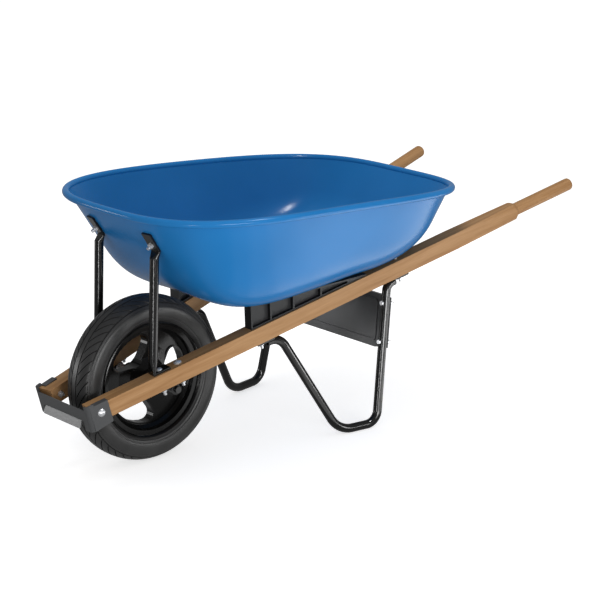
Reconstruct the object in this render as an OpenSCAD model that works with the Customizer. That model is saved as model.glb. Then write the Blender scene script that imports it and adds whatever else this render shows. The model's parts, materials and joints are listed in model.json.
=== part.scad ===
// Single-wheel contractor's wheelbarrow: steel tray on two wooden handles, pneumatic wheel.
// Millimetres. +X runs from the wheel to the grips, +Y is the operator's right, +Z is up.
// The model is laid out from the axle (x = 0, ground at z = 0) and then moved by mid_x, so
// that the origin ends up on the ground under the middle of the overall length.

/* [Wheel] */
// Outside diameter of the tyre
tyre_d = 406; // [380:1:412]
// Widest part of the tyre, across both sidewalls
tyre_w = 92; // [80:1:96]
// Diameter over the rim flanges
rim_d = 282; // [270:1:290]
// Width over the rim flanges
rim_w = 76; // [70:1:80]
// Diameter of the plain steel axle
axle_d = 16; // [12:1:18]
// Length of the axle
axle_l = 281; // [270:1:290]
// Length of the wheel hub
hub_l = 124; // [100:1:140]
// Width of each wheel spoke
spoke_w = 70; // [50:1:80]

/* [Handles] */
// Side of the square handle section
handle_w = 41; // [38:1:44]
// Rise of the handles towards the grips, in degrees
handle_pitch = 13.3; // [12:0.1:14]
// Spread of each handle from the centre line, in degrees
handle_yaw = 8; // [7:0.1:8.5]
// Height of the handle's centre line above the ground at the axle
handle_z = 237.4; // [235:0.1:245]
// Distance of the handle's centre line from the middle at the axle
handle_y = 117.6; // [114:0.1:120]
// Reach of the handle in front of the axle, along the handle
handle_front = 239; // [230:1:245]
// Reach of the grip behind the axle, along the handle
handle_rear = 1222; // [1180:1:1260]
// Diameter of the turned grip
grip_d = 32; // [28:1:34]
// Length of the turned grip
grip_l = 184; // [150:1:200]

/* [Tray] */
// Front of the tray's rim, from the axle
rim_front = -86; // [-90:1:-80]
// Rear of the tray's rim, from the axle
rim_rear = 850; // [840:1:860]
// Half width of the rim at its front end
rim_half_front = 354; // [340:1:360]
// Half width of the rim at its rear end
rim_half_rear = 306; // [300:1:315]
// Height of the rim over the axle
rim_height = 629; // [625:1:635]
// Diameter of the rolled bead round the rim
bead_d = 18; // [14:1:20]
// Thickness of the tray's sheet
sheet_t = 1.5; // [1.2:0.1:2]

/* [Legs and braces] */
// Diameter of the leg and riser tubes
tube_d = 22; // [20:1:24]
// Wall of the tubes
tube_wall = 1.5; // [1.2:0.1:2]
// Outward lean of each leg, in degrees
leg_lean = 6.7; // [6:0.1:7.5]
// Slope of the leg's front member, from the vertical, in degrees
front_rake = 28; // [26:0.5:29]
// Slope of the leg's rear member, from the vertical, in degrees
rear_rake = 10.5; // [10:0.5:11.5]
// Thickness of bent plate parts
plate_t = 3; // [2.5:0.5:3.5]

/* [Fasteners] */
// Diameter of the frame bolts
bolt_d = 8; // [6:1:9]
// Diameter of the bolts that hold the leg panel
panel_bolt_d = 6; // [5:1:6]

/* [Hidden] */
$fn = 48;

LEFT = -1;
RIGHT = 1;
SIDES = [LEFT, RIGHT];

steel_black = [0.03, 0.03, 0.035];
zinc = [0.75, 0.76, 0.78];
tray_blue = [0.13, 0.40, 0.75];
wood = [0.72, 0.52, 0.36];

// Clearance between pieces that only rest on each other
gap = 0.3;
// Radial clearance of a bolt in its hole, and of a nut on its bolt
hole_gap = 0.5;
nut_gap = 0.05;
// Radial running clearance of the wheel's bearings on the axle
run_gap = 0.05;

axle_z = tyre_d / 2;
handle_h = handle_w / 2;
// Distance along the handle from the axle's cross plane to each bolt
nose_bolt_s = -206;
axle_bolt_front_s = -31;
axle_bolt_rear_s = 21;
tray_bolt_front_s = 245;
tray_bolt_rear_s = 662;
shoulder_s = handle_rear - grip_l;

// Middle of the overall length, from the axle: the nose guard's lip in front, a grip behind
mid_x = 468.51;

// ---- General helpers -------------------------------------------------------------------

module from_axle() {
    translate([-mid_x, 0, 0]) children();
}

module on_side(side) {
    if (side < 0)
        mirror([0, 1, 0]) children();
    else
        children();
}

// x along the handle from the axle's cross plane, y outwards, z square to the handle's top,
// with the handle's centre line at y = 0, z = 0
module on_handle(side) {
    from_axle() on_side(side) translate([0, handle_y, handle_z])
        rotate([0, -handle_pitch, handle_yaw]) children();
}

function unit(v) = v / norm(v);

// A point in the handle's frame, as a point from the axle on the right-hand side
function handle_point(s, y, z) =
    let (
        level = s * cos(handle_pitch) - z * sin(handle_pitch),
        up = s * sin(handle_pitch) + z * cos(handle_pitch)
    )
    [
        level * cos(handle_yaw) - y * sin(handle_yaw),
        handle_y + level * sin(handle_yaw) + y * cos(handle_yaw),
        handle_z + up
    ];

// Points of an outline whose corners [x, y, radius] are rounded by arcs of arc_steps steps
arc_steps = 6;
function corner_arc(before, corner, after, radius) =
    let (
        a = unit(before - corner),
        b = unit(after - corner),
        half = acos(a * b) / 2,
        reach = radius / tan(half),
        centre = corner + unit(a + b) * radius / sin(half),
        p = corner + a * reach - centre,
        q = corner + b * reach - centre
    )
    [
        for (i = [0:arc_steps])
            let (k = i / arc_steps, angle = acos(min(1, unit(p) * unit(q))))
            centre + (p * sin((1 - k) * angle) + q * sin(k * angle)) / sin(angle)
    ];
function rounded(corners) =
    let (n = len(corners))
    [
        for (i = [0:n - 1])
            let (
                c = corners[i],
                before = corners[(i + n - 1) % n],
                after = corners[(i + 1) % n],
                here = [c[0], c[1]]
            )
            each c[2] > 0
                ? corner_arc([before[0], before[1]], here, [after[0], after[1]], c[2])
                : [here]
    ];

// Draws a profile of the XZ plane, as thick as width and centred on Y = 0
module upright_plate(width) {
    translate([0, width / 2, 0]) rotate([90, 0, 0]) linear_extrude(width) children();
}

module hole(d, l) {
    translate([0, 0, -l / 2]) cylinder(d = d, h = l);
}

// Carriage bolt: the head's underside is at z = 0 and the shank runs down
head_h = 4.4;
module carriage_bolt(d, l) {
    head_r = 1.2 * d;
    dome_r = (head_r * head_r + head_h * head_h) / (2 * head_h);
    intersection() {
        translate([0, 0, head_h - dome_r]) sphere(r = dome_r, $fn = 64);
        cylinder(r = head_r + 1, h = head_h + 1);
    }
    translate([0, 0, -l]) cylinder(d = d, h = l + 0.5);
}

// Hex bolt: the head's underside is at z = 0 and the shank runs down
module hex_bolt(d, l) {
    cylinder(d = 1.7 * d / cos(30), h = 0.6 * d, $fn = 6);
    translate([0, 0, -l]) cylinder(d = d, h = l + 0.5);
}

// Nut that stands on z = 0 and reaches up
module nut(d) {
    difference() {
        cylinder(d = 1.62 * d / cos(30), h = 0.8 * d, $fn = 6);
        hole(d + 2 * nut_gap, 4 * d);
    }
}

module washer(d, t) {
    difference() {
        cylinder(d = 2.4 * d, h = t);
        hole(d + 2 * nut_gap, 4 * d);
    }
}

// ---- Handles ---------------------------------------------------------------------------

turned_l = 200;
shoulder_l = 11;
dome_l = 9;
dome_steps = 4;
// Gap between each handle's front end and the guard, so that its corner clears the bend
nose_clear = 9;
// Lathe-turned outline of the handle: [radius, distance along the handle]
handle_profile = concat(
    [
        [0, -handle_front - 1],
        [handle_w, -handle_front - 1],
        [handle_w, shoulder_s - turned_l - 60],
        [handle_h * 1.40, shoulder_s - turned_l],
        [handle_h * 1.17, shoulder_s - shoulder_l],
        [grip_d / 2, shoulder_s]
    ],
    [
        for (i = [0:dome_steps])
            let (a = 90 * i / dome_steps)
            [grip_d / 2 * (i == dome_steps ? 0 : cos(a * 0.8)), handle_rear - dome_l * (1 - sin(a))]
    ]
);

module handle(side) {
    color(wood) on_handle(side) difference() {
        intersection() {
            rotate([0, 90, 0]) rotate_extrude() polygon(handle_profile);
            translate([nose_clear - handle_front, -handle_h, -handle_h])
                cube([handle_front - nose_clear + handle_rear + 1, handle_w, handle_w]);
        }
        handle_holes();
    }
}

module handle_holes() {
    for (s = [axle_bolt_front_s, axle_bolt_rear_s, tray_bolt_front_s, tray_bolt_rear_s])
        translate([s, 0, 0]) hole(bolt_d + 2 * hole_gap, 2 * handle_w);
    translate([nose_bolt_s, 0, 0]) rotate([90, 0, 0]) hole(bolt_d + 2 * hole_gap, 2 * handle_w);
}

// ---- Nose guard ------------------------------------------------------------------------

nose_back = 56;
nose_top = 17;
nose_side_top = 29;
nose_bottom = -38;
nose_fold = -13;
lip_l = 20;
lip_half = 74;
// Angle of the lip from the web, forwards
lip_flare = 36;
lip_corner_r = 6;
bend_r = 11;

// x square to the web (and along the handles), y across, z up the web
module at_nose() {
    from_axle() translate([0, 0, handle_z]) rotate([0, -handle_pitch, 0])
        translate([-handle_front - gap - plate_t, 0, 0]) children();
}

// Half width of the guard, inside its side plates, at the web
nose_half = handle_point(-handle_front, handle_h + gap, 0)[1];

module nose_guard() {
    color(steel_black) union() {
        difference() {
            at_nose() {
                web_half = nose_half + plate_t - bend_r;
                translate([0, -web_half, nose_fold])
                    cube([plate_t, 2 * web_half, nose_top - nose_fold]);
                for (side = SIDES)
                    on_side(side) nose_corner(web_half);
                nose_lip();
            }
            for (side = SIDES)
                on_handle(side) translate([-handle_front, -handle_w, handle_h])
                    cube([nose_back, handle_w + handle_h, handle_w]);
        }
        for (side = SIDES)
            on_handle(side) nose_side();
    }
}

// Strip beside the web that runs down past the lip, and its rounded corner
module nose_corner(web_half) {
    translate([0, lip_half + 8, nose_bottom])
        cube([plate_t, web_half - lip_half - 8, nose_top - nose_bottom]);
    translate([bend_r, web_half, nose_bottom]) difference() {
        cylinder(r = bend_r, h = nose_side_top - nose_bottom);
        translate([0, 0, -1]) cylinder(r = bend_r - plate_t, h = nose_side_top - nose_bottom + 2);
        translate([0, -2 * bend_r, -1])
            cube([2 * bend_r, 4 * bend_r, nose_side_top - nose_bottom + 2]);
        translate([-2 * bend_r, -2 * bend_r, -1])
            cube([4 * bend_r, 2 * bend_r, nose_side_top - nose_bottom + 2]);
    }
}

// Lip with rounded corners that is bent forwards out of the web's lower edge
module nose_lip() {
    translate([0, 0, nose_fold + 1]) rotate([0, lip_flare, 0]) rotate([90, 0, 90])
        linear_extrude(plate_t) polygon(rounded([
            [-lip_half, 0, 0], [lip_half, 0, 0],
            [lip_half + 5, -lip_l, lip_corner_r], [-lip_half - 5, -lip_l, lip_corner_r]
        ]));
}

// Side plate along the handle's outer face, with the tab folded over the handle's top
module nose_side() {
    front = -handle_front + bend_r - plate_t - 1;
    rear = -handle_front + nose_back;
    tab_front = front + 12;
    tab_w = 13;
    difference() {
        translate([0, handle_h + gap + plate_t / 2, 0]) upright_plate(plate_t) polygon([
            [front, nose_bottom], [rear, nose_bottom + 6], [rear, handle_h + gap + plate_t],
            [tab_front, handle_h + gap + plate_t], [tab_front - 2, nose_side_top],
            [front, nose_side_top]
        ]);
        translate([nose_bolt_s, handle_h, 0]) rotate([90, 0, 0])
            hole(bolt_d + 2 * hole_gap, 20);
    }
    translate([tab_front, handle_h - tab_w, handle_h + gap])
        cube([rear - tab_front, tab_w + gap + plate_t, plate_t]);
}

module nose_bolts() {
    color(zinc) for (side = SIDES)
        on_handle(side) translate([nose_bolt_s, handle_h + gap + plate_t + gap, 0])
            rotate([-90, 0, 0]) carriage_bolt(bolt_d, handle_w + 16);
}

module nose_nuts() {
    color(zinc) for (side = SIDES)
        on_handle(side) translate([nose_bolt_s, -handle_h - gap, 0])
            rotate([90, 0, 0]) nut(bolt_d);
}

// ---- Axle and its brackets -------------------------------------------------------------

bracket_t = 4;
bracket_l = 78;
bracket_w = 28;
boss_wall = 4.5;

module axle_bracket(side) {
    axle_s = handle_point_of_axle()[0];
    axle_n = handle_point_of_axle()[1];
    color(steel_black) difference() {
        on_handle(side) difference() {
            union() {
                translate([axle_s - bracket_l / 2, -bracket_w / 2, -handle_h - gap - bracket_t])
                    cube([bracket_l, bracket_w, bracket_t]);
                translate([axle_s, 0, axle_n]) rotate([90, 0, 0])
                    hole(axle_d + 2 * boss_wall, bracket_w + 4);
                translate([axle_s - axle_d / 2 - boss_wall + 1, 1 - bracket_w / 2, axle_n])
                    cube([axle_d + 2 * boss_wall - 2, bracket_w - 2, -handle_h - gap - axle_n - 1]);
            }
            for (s = [axle_bolt_front_s, axle_bolt_rear_s])
                translate([s, 0, -handle_h]) hole(bolt_d + 2 * hole_gap, 30);
        }
        from_axle() translate([0, 0, axle_z]) rotate([90, 0, 0]) rotate([0, 0, 37])
            hole(axle_d, 2 * axle_l);
    }
}

// Where the axle crosses the handle's vertical middle plane: [along, square to the handle]
function handle_point_of_axle() =
    let (drop = axle_z - handle_z)
    [drop * sin(handle_pitch), drop * cos(handle_pitch)];

module axle() {
    color(zinc) from_axle() translate([0, 0, axle_z]) rotate([90, 0, 0]) hole(axle_d, axle_l);
}

// Tubes that centre the wheel between the brackets
spacer_out = 99;
module axle_spacers() {
    color(zinc) for (side = SIDES)
        from_axle() on_side(side) translate([0, hub_l / 2 + 1, axle_z]) rotate([-90, 0, 0])
            difference() {
                cylinder(d = axle_d + 6, h = spacer_out - hub_l / 2 - 1);
                hole(axle_d + 2 * nut_gap, 3 * axle_l);
            }
}

riser_foot_t = 5;
module axle_bolts() {
    tail = 17;
    color(zinc) for (side = SIDES) on_handle(side) {
        translate([axle_bolt_front_s, 0, handle_h + 2 * gap + riser_foot_t])
            carriage_bolt(bolt_d, handle_w + riser_foot_t + bracket_t + tail);
        translate([axle_bolt_rear_s, 0, handle_h + gap + 2])
            carriage_bolt(bolt_d, handle_w + bracket_t + tail);
    }
}

module axle_nuts() {
    color(zinc) for (side = SIDES, s = [axle_bolt_front_s, axle_bolt_rear_s])
        on_handle(side) translate([s, 0, -handle_h - 2 * gap - bracket_t])
            rotate([180, 0, 0]) nut(bolt_d);
}

module axle_washers() {
    color(zinc) for (side = SIDES)
        on_handle(side) translate([axle_bolt_rear_s, 0, handle_h + gap / 2])
            washer(bolt_d, 2);
}

// ---- Wheel -----------------------------------------------------------------------------

// Spins the children, drawn about the Z axis, onto the axle
module on_axle() {
    from_axle() translate([0, 0, axle_z]) rotate([90, 0, 0]) children();
}

rim_r = rim_d / 2;
rim_h = rim_w / 2;
rim_sheet = 3;
bead_r = rim_r - 12;
well_r = rim_r - 21;
bearing_d = 35;
bearing_w = 11;
hub_r = bearing_d / 2 + 4;

// Section of the rim barrel, outside edge first: flange, bead seat, well, bead seat, flange
function barrel_half(offset) = [
    [rim_r - offset, rim_h],
    [rim_r - offset - 1, rim_h - 4],
    [bead_r - offset, rim_h - 5],
    [bead_r - 2 - offset, rim_h - 18],
    [well_r - offset, rim_h - 26]
];
function flip(points) = [for (i = [len(points) - 1:-1:0]) [points[i][0], -points[i][1]]];

module rim_barrel() {
    outer = barrel_half(0);
    inner = barrel_half(rim_sheet);
    edge = [
        [rim_r - rim_sheet - 1, rim_h - 1], [rim_r - 1, rim_h + 2.5], [rim_r + 1.5, rim_h + 1.5]
    ];
    half = concat([for (i = [4:-1:1]) inner[i]], edge, [for (i = [1:4]) outer[i]]);
    rotate_extrude() polygon(concat(half, flip(half)));
}

// Dished centre of the wheel: thick at the hub, thin at the barrel
module rim_disc() {
    rotate_extrude() polygon([
        [hub_r - 2, 30], [hub_r + 6, 27], [52, 15], [80, 10], [well_r - 1, 8],
        [well_r - 1, -8], [80, -10], [52, -15], [hub_r + 6, -27], [hub_r - 2, -30]
    ]);
}

window_r = well_r - 9;
// Corners of one window: its sides run parallel to the spokes on either side
function window_corners(grow) =
    let (
        half_w = spoke_w / 2 - grow,
        r = window_r + grow,
        tip = half_w / sin(60),
        edge = 60 - asin(half_w / r),
        round_r = 18 + grow
    )
    concat(
        [[tip, 0, round_r + 8]],
        [[r * cos(edge) * 1.0, -r * sin(edge), round_r]],
        [for (a = [-edge + 18:9:edge - 18]) [r * cos(a), r * sin(a), 0]],
        [[r * cos(edge) * 1.0, r * sin(edge), round_r]]
    );

window_angles = [2, 122, 242];
module rim() {
    lip_h = 13;
    color(steel_black) on_axle() difference() {
        union() {
            rim_barrel();
            rim_disc();
            for (a = window_angles)
                rotate([0, 0, a]) translate([0, 0, -lip_h]) linear_extrude(2 * lip_h)
                    polygon(rounded(window_corners(4)));
            hole(2 * hub_r, hub_l - 2);
        }
        for (a = window_angles)
            rotate([0, 0, a]) translate([0, 0, -rim_w]) linear_extrude(2 * rim_w)
                polygon(rounded(window_corners(0)));
        hole(bearing_d - 6, 2 * hub_l);
        for (side = [0, 180])
            rotate([side, 0, 0]) translate([0, 0, hub_l / 2 - 1 - bearing_w])
                cylinder(d = bearing_d, h = bearing_w + 5);
        rotate([0, 0, valve_angle]) translate([well_r - 12, 0, 0]) rotate([0, 90, 0])
            cylinder(d = valve_hole_d, h = 22);
    }
}

module wheel_bearings() {
    inset = hub_l / 2 - 1 - bearing_w;
    color(zinc) on_axle() for (side = [0, 180])
        rotate([side, 0, 0]) translate([0, 0, inset]) difference() {
            cylinder(d = bearing_d, h = bearing_w + 1);
            hole(axle_d + 2 * run_gap, 2 * hub_l);
            translate([0, 0, bearing_w - 0.5]) difference() {
                cylinder(d = bearing_d - 7, h = 3);
                hole(axle_d + 6, 10);
            }
        }
}

tyre_r = tyre_d / 2;
tyre_h = tyre_w / 2;
// Outline of the tyre's outside, from the crown to the bead, on one side: [radius, width]
function tyre_outside() = [
    [tyre_r, 0], [tyre_r - 0.6, 12], [tyre_r - 3, 24], [tyre_r - 7, 34], [tyre_r - 13, 40],
    [tyre_r - 22, tyre_h - 2.4], [tyre_r - 32, tyre_h], [tyre_r - 44, tyre_h - 1],
    [tyre_r - 54, tyre_h - 4], [tyre_r - 60, rim_h - 1], [rim_r - 0.5, rim_h - 4.3],
    [bead_r + 0.2, rim_h - 5.3]
];
// Radius of the space for the inner tube
tube_r = 31;
tube_centre = tyre_r - 10 - tube_r;

module tyre() {
    color([0.05, 0.05, 0.05]) on_axle() difference() {
        rotate_extrude() polygon(concat(
            flip(tyre_outside()),
            [for (p = tyre_outside()) if (p[1] > 0) p],
            [[bead_r - 1.5, rim_h - 17], [bead_r + 12, rim_h - 20],
             [bead_r + 12, -rim_h + 20], [bead_r - 1.5, -rim_h + 17]]
        ));
        rotate_extrude() translate([tube_centre, 0]) circle(r = tube_r + gap);
        for (y = [-9, 9])
            rotate_extrude() translate([tyre_r - 4, y - 1.25]) square([6, 2.5]);
    }
}

valve_angle = 344;
valve_hole_d = 9;
module inner_tube() {
    color([0.07, 0.07, 0.07]) on_axle() difference() {
        rotate_extrude() translate([tube_centre, 0]) difference() {
            circle(r = tube_r);
            circle(r = tube_r - 2);
        }
        rotate([0, 0, valve_angle]) translate([well_r, 0, 0]) rotate([0, 90, 0])
            cylinder(d = valve_hole_d, h = 20);
    }
}

// Valve: stem through the well, towards the axle, and out to the visible side of the dish
valve_l = 34;
module valve_stem() {
    color("black") on_axle() rotate([0, 0, valve_angle]) translate([tube_centre - tube_r + 4, 0, 0])
        rotate([0, -90, 0]) {
            cylinder(d = valve_hole_d - 1, h = valve_l - 6);
            cylinder(d = 6, h = valve_l);
        }
}

module valve_cap() {
    color("black") on_axle() rotate([0, 0, valve_angle])
        translate([tube_centre - tube_r + 4 - valve_l - gap, 0, 0]) rotate([0, -90, 0]) {
            cylinder(d = 7.6, h = 9);
            translate([0, 0, 9]) cylinder(d1 = 7.6, d2 = 6, h = 1.5);
        }
}

// ---- Tray ------------------------------------------------------------------------------

// Bottom corner line of the tray, before it is rounded
corner_front = 88;
corner_rear = 752;
corner_half_front = 242;
corner_half_rear = 256;
corner_power_front = 5.5;
corner_power_rear = 4.5;
rim_power_front = 3.05;
rim_power_rear = 3.85;
// Length of the bottom rounding along the floor and up the wall
fillet_side = 100;
fillet_front = 145;
fillet_rear = 45;
// The floor is level-ish in front and follows the handles' tops behind
floor_at_axle = 359.5;
floor_slope = 0.058;
floor_blend = 2;
tray_steps = 72;
floor_rings = [0.3, 0.6, 0.85];
fillet_rings = 6;
bead_sides = 10;

// Top face of a handle over its middle, as a height at x
function handle_top(x) =
    handle_z + handle_h / cos(handle_pitch) + x * tan(handle_pitch) / cos(handle_yaw);
function floor_z(x) =
    let (level = floor_at_axle + floor_slope * x)
    level + floor_blend * ln(1 + exp((handle_top(x) + 1 - level) / floor_blend));
function rim_z(x) = rim_height - 0.042 * x - 11.2 * pow(x / 500, 2);

// Plan curve of power n (2 is an ellipse, more is squarer) whose half width varies along x
function plan(a, front, rear, half_front, half_rear, n_front, n_rear) =
    let (
        c = abs(cos(a)),
        s = abs(sin(a)),
        n = cos(a) > 0 ? n_front : n_rear,
        k = pow(pow(c, n) + pow(s, n), -1 / n),
        x = (front + rear) / 2 - (rear - front) / 2 * sign(cos(a)) * c * k,
        half = half_front + (half_rear - half_front) * (x - front) / (rear - front)
    )
    [x, half * sign(sin(a)) * s * k];
function bottom_corner(a) =
    let (p = plan(a, corner_front, corner_rear, corner_half_front, corner_half_rear,
                  corner_power_front, corner_power_rear))
    [p[0], p[1], floor_z(p[0])];
function rim_line(a) =
    let (p = plan(a, rim_front, rim_rear, rim_half_front, rim_half_rear,
                  rim_power_front, rim_power_rear))
    [p[0], p[1], rim_z(p[0])];
// The wall runs up into the bead's inner side, so most of the bead stands outside the wall
function rim_in(a) = let (t = rim_line(a + 1) - rim_line(a - 1)) unit([t[1], -t[0], 0]);
function wall_top(a) = rim_line(a) + rim_in(a) * (bead_d / 2 - sheet_t - 1) - [0, 0, 1];
function fillet_length(a) =
    let (front = pow(max(cos(a), 0), 2), rear = pow(max(-cos(a), 0), 2))
    front * fillet_front + rear * fillet_rear + (1 - front - rear) * fillet_side;
function floor_edge(a) =
    let (
        c = bottom_corner(a),
        out = wall_top(a) - c,
        p = c - unit([out[0], out[1], 0]) * fillet_length(a)
    )
    [p[0], p[1], floor_z(p[0])];
function wall_foot(a) =
    let (c = bottom_corner(a))
    c + unit(wall_top(a) - c) * fillet_length(a);
floor_middle_x = (corner_front + corner_rear) / 2;
function floor_point(a, k) =
    let (p = floor_edge(a), x = floor_middle_x + (p[0] - floor_middle_x) * k)
    [x, p[1] * k, floor_z(x)];
function fillet_point(a, t) =
    (1 - t) * (1 - t) * floor_edge(a) + 2 * t * (1 - t) * bottom_corner(a)
    + t * t * wall_foot(a);

tray_angles = [for (i = [0:tray_steps - 1]) i * 360 / tray_steps];
// Rings of the tray's outside, from the middle of the floor to the rim
outside_rings = concat(
    [for (k = floor_rings) [for (a = tray_angles) floor_point(a, k)]],
    [for (i = [0:fillet_rings]) [for (a = tray_angles) fillet_point(a, i / fillet_rings)]],
    [for (k = [0.5, 1]) [for (a = tray_angles) wall_foot(a) * (1 - k) + wall_top(a) * k]]
);
ring_count = len(outside_rings);

// Inward direction square to the skin at a vertex
function inward(i, j) =
    let (
        along = outside_rings[i][(j + 1) % tray_steps]
            - outside_rings[i][(j + tray_steps - 1) % tray_steps],
        upwards = outside_rings[min(i + 1, ring_count - 1)][j]
            - outside_rings[max(i - 1, 0)][j]
    )
    unit(cross(along, upwards));
function inside_ring(i) =
    [for (j = [0:tray_steps - 1]) outside_rings[i][j] + inward(i, j) * sheet_t];

// Closed skin made of rings of equal length between a first and a last pole
module ringed_solid(first, rings, last) {
    n = len(rings[0]);
    m = len(rings);
    points = concat([first], [for (ring = rings) each ring], [last]);
    end = len(points) - 1;
    faces = concat(
        [for (j = [0:n - 1]) [0, 1 + (j + 1) % n, 1 + j]],
        [for (i = [0:m - 2], j = [0:n - 1])
            let (a = 1 + i * n + j, b = 1 + i * n + (j + 1) % n)
            each [[a, b, a + n], [b, b + n, a + n]]],
        [for (j = [0:n - 1])
            [end, end - n + j, end - n + (j + 1) % n]]
    );
    polyhedron(points, faces);
}

// Closed ring of round section along a loop of points
module bead(loop, r, sides) {
    n = len(loop);
    points = [
        for (i = [0:n - 1])
            let (
                run = unit(loop[(i + 1) % n] - loop[(i + n - 1) % n]),
                out = unit(cross(run, [0, 0, 1])),
                up = cross(out, run)
            )
            each [for (k = [0:sides - 1])
                let (w = 360 * k / sides)
                loop[i] + r * (out * cos(w) + up * sin(w))]
    ];
    faces = [
        for (i = [0:n - 1], k = [0:sides - 1])
            let (
                a = i * sides + k,
                b = i * sides + (k + 1) % sides,
                c = ((i + 1) % n) * sides + k,
                d = ((i + 1) % n) * sides + (k + 1) % sides
            )
            each [[a, b, c], [b, d, c]]
    ];
    polyhedron(points, faces);
}

module tray() {
    floor_mid = [floor_middle_x, 0, floor_z(floor_middle_x)];
    color(tray_blue) difference() {
        from_axle() union() {
            ringed_solid(
                floor_mid,
                concat(outside_rings, [for (i = [ring_count - 1:-1:0]) inside_ring(i)]),
                floor_mid + [0, 0, sheet_t]
            );
            bead([for (a = tray_angles) rim_line(a)], bead_d / 2, bead_sides);
        }
        for (side = SIDES) {
            on_handle(side) for (s = [tray_bolt_front_s, tray_bolt_rear_s])
                translate([s, 0, handle_h + 50]) hole(bolt_d + 2 * hole_gap, 110);
            at_riser_seat(side) hole(bolt_d + 2 * hole_gap, 40);
        }
    }
}

// ---- Wedges between the handles and the tray ---------------------------------------------

wedge_w = 31;
wedge_front_x = 209;
wedge_skin = 4;
pocket_depth = 11;
wedge_end_h = 3;

// x level along the handle from the axle, y outwards, z up from the ground
module over_handle(side) {
    from_axle() on_side(side) translate([0, handle_y, 0]) rotate([0, 0, handle_yaw]) children();
}
function beam_x(x) = x / cos(handle_yaw);
function wedge_bottom(x) = handle_top(x) + gap;
function wedge_top(x) = floor_at_axle + floor_slope * x - gap - 0.4;
// Where the wedge has run out to wedge_end_h
wedge_rear_x = (wedge_top(0) - wedge_bottom(0) - wedge_end_h)
    / (tan(handle_pitch) / cos(handle_yaw) - floor_slope);
// Cross walls between the pockets, from the axle
wedge_walls = [209, 262, 326, 404, 482];

function wedge_outline(x0, x1, inset) = [
    [beam_x(x0), wedge_bottom(x0) + inset],
    [beam_x(x1), wedge_bottom(x1) + inset],
    [beam_x(x1), wedge_top(x1) - inset],
    [beam_x(x0), wedge_top(x0) - inset]
];

module wedge(side) {
    color(steel_black) difference() {
        over_handle(side) difference() {
            upright_plate(wedge_w) polygon(wedge_outline(wedge_front_x, wedge_rear_x, 0));
            for (i = [0:len(wedge_walls) - 2], y = [-1, 1])
                translate([0, y * (wedge_w / 2 - pocket_depth / 2 + 0.5), 0])
                    upright_plate(pocket_depth + 1) polygon(wedge_outline(
                        wedge_walls[i] + wedge_skin, wedge_walls[i + 1], wedge_skin));
        }
        on_handle(side) translate([tray_bolt_front_s, 0, handle_h + 40])
            hole(bolt_d + 2 * hole_gap, 100);
    }
}

// ---- Bolts through the tray floor ----------------------------------------------------------

// Height of the tray's inside face above the handle's centre line, along the bolt at s
function tray_inside(s) =
    let (
        p = handle_point(s, 0, handle_h),
        q = handle_point(s, 0, handle_h + 100),
        miss0 = floor_z(p[0]) + sheet_t - p[2],
        miss1 = floor_z(q[0]) + sheet_t - q[2]
    )
    handle_h + 100 * miss0 / (miss0 - miss1);

tongue_t = 5;
leg_tail = 16;
// Seats of the bevel washers on the floor, and the washers' rise over them
front_seat = tray_inside(tray_bolt_front_s) + 1.6;
rear_seat = tray_inside(tray_bolt_rear_s) + 4.8;
front_bevel_h = 4;
rear_bevel_h = 4.8;
module tray_front_bolts() {
    head = front_seat + front_bevel_h + gap;
    color(zinc) for (side = SIDES)
        on_handle(side) translate([tray_bolt_front_s, 0, head])
            carriage_bolt(bolt_d, head + handle_h + tongue_t + leg_tail);
}

module tray_rear_bolts() {
    head = rear_seat + rear_bevel_h + gap;
    color(zinc) for (side = SIDES)
        on_handle(side) translate([tray_bolt_rear_s, 0, head])
            carriage_bolt(bolt_d, head + handle_h + tongue_t + leg_tail);
}

// Tapered washer that rises h over the seat, whose underside is turned to lie on the floor
module bevel_washer(r, h, turn) {
    difference() {
        translate([0, 0, -6]) cylinder(r = r, h = 6 + h);
        hole(bolt_d + 2 * nut_gap, 40);
        rotate(turn) translate([-30, -30, -30]) cube([60, 60, 30]);
    }
}

// The floor falls away from the front bolts, and its side curve rises past the rear ones
module bevel_washers() {
    color(zinc) for (side = SIDES) {
        on_handle(side) translate([tray_bolt_front_s, 0, front_seat])
            bevel_washer(13, front_bevel_h, [0, handle_pitch, 0]);
        on_handle(side) translate([tray_bolt_rear_s, 0, rear_seat])
            bevel_washer(11.5, rear_bevel_h, [15.9, -3.1, 0]);
    }
}

module leg_nuts() {
    color(zinc) for (side = SIDES, s = [tray_bolt_front_s, tray_bolt_rear_s])
        on_handle(side) translate([s, 0, -handle_h - tongue_t - 2 * gap])
            rotate([180, 0, 0]) nut(bolt_d);
}

// ---- Legs ------------------------------------------------------------------------------

leg_yaw = handle_yaw + asin(tan(handle_pitch) * tan(leg_lean));
// Rise of the handle's underside in the leg's own plane
leg_rise = asin(sin(handle_pitch) / cos(leg_lean));
leg_origin = handle_point(tray_bolt_front_s, 0, -handle_h);
// Height of the ground in the leg's plane, and of the foot's centre line
ground_v = -leg_origin[2] / cos(leg_lean);
foot_flat = 0.8;
tube_r_out = tube_d / 2;
foot_v = ground_v + tube_r_out - foot_flat;
// Start and end of the foot, where its line meets the two members' lines
foot_front_u = 194;
foot_rear_u = 305;
// Centre line of the tube under the handle
under_gap = 0.5;
function under_v(u) = u * tan(leg_rise) - (tube_r_out + under_gap) / cos(leg_rise);
function meet_under(foot_u, rake, lean) =
    let (
        k = lean * tan(rake),
        u = (foot_u + k * (under_v(0) - foot_v)) / (1 - k * tan(leg_rise))
    )
    [u, under_v(u)];
top_front = meet_under(foot_front_u, front_rake, -1);
top_rear = meet_under(foot_rear_u, rear_rake, 1);
bend_front_r = 38;
bend_rear_r = 26;
foot_front_r = 65;
foot_rear_r = 36;

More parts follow.
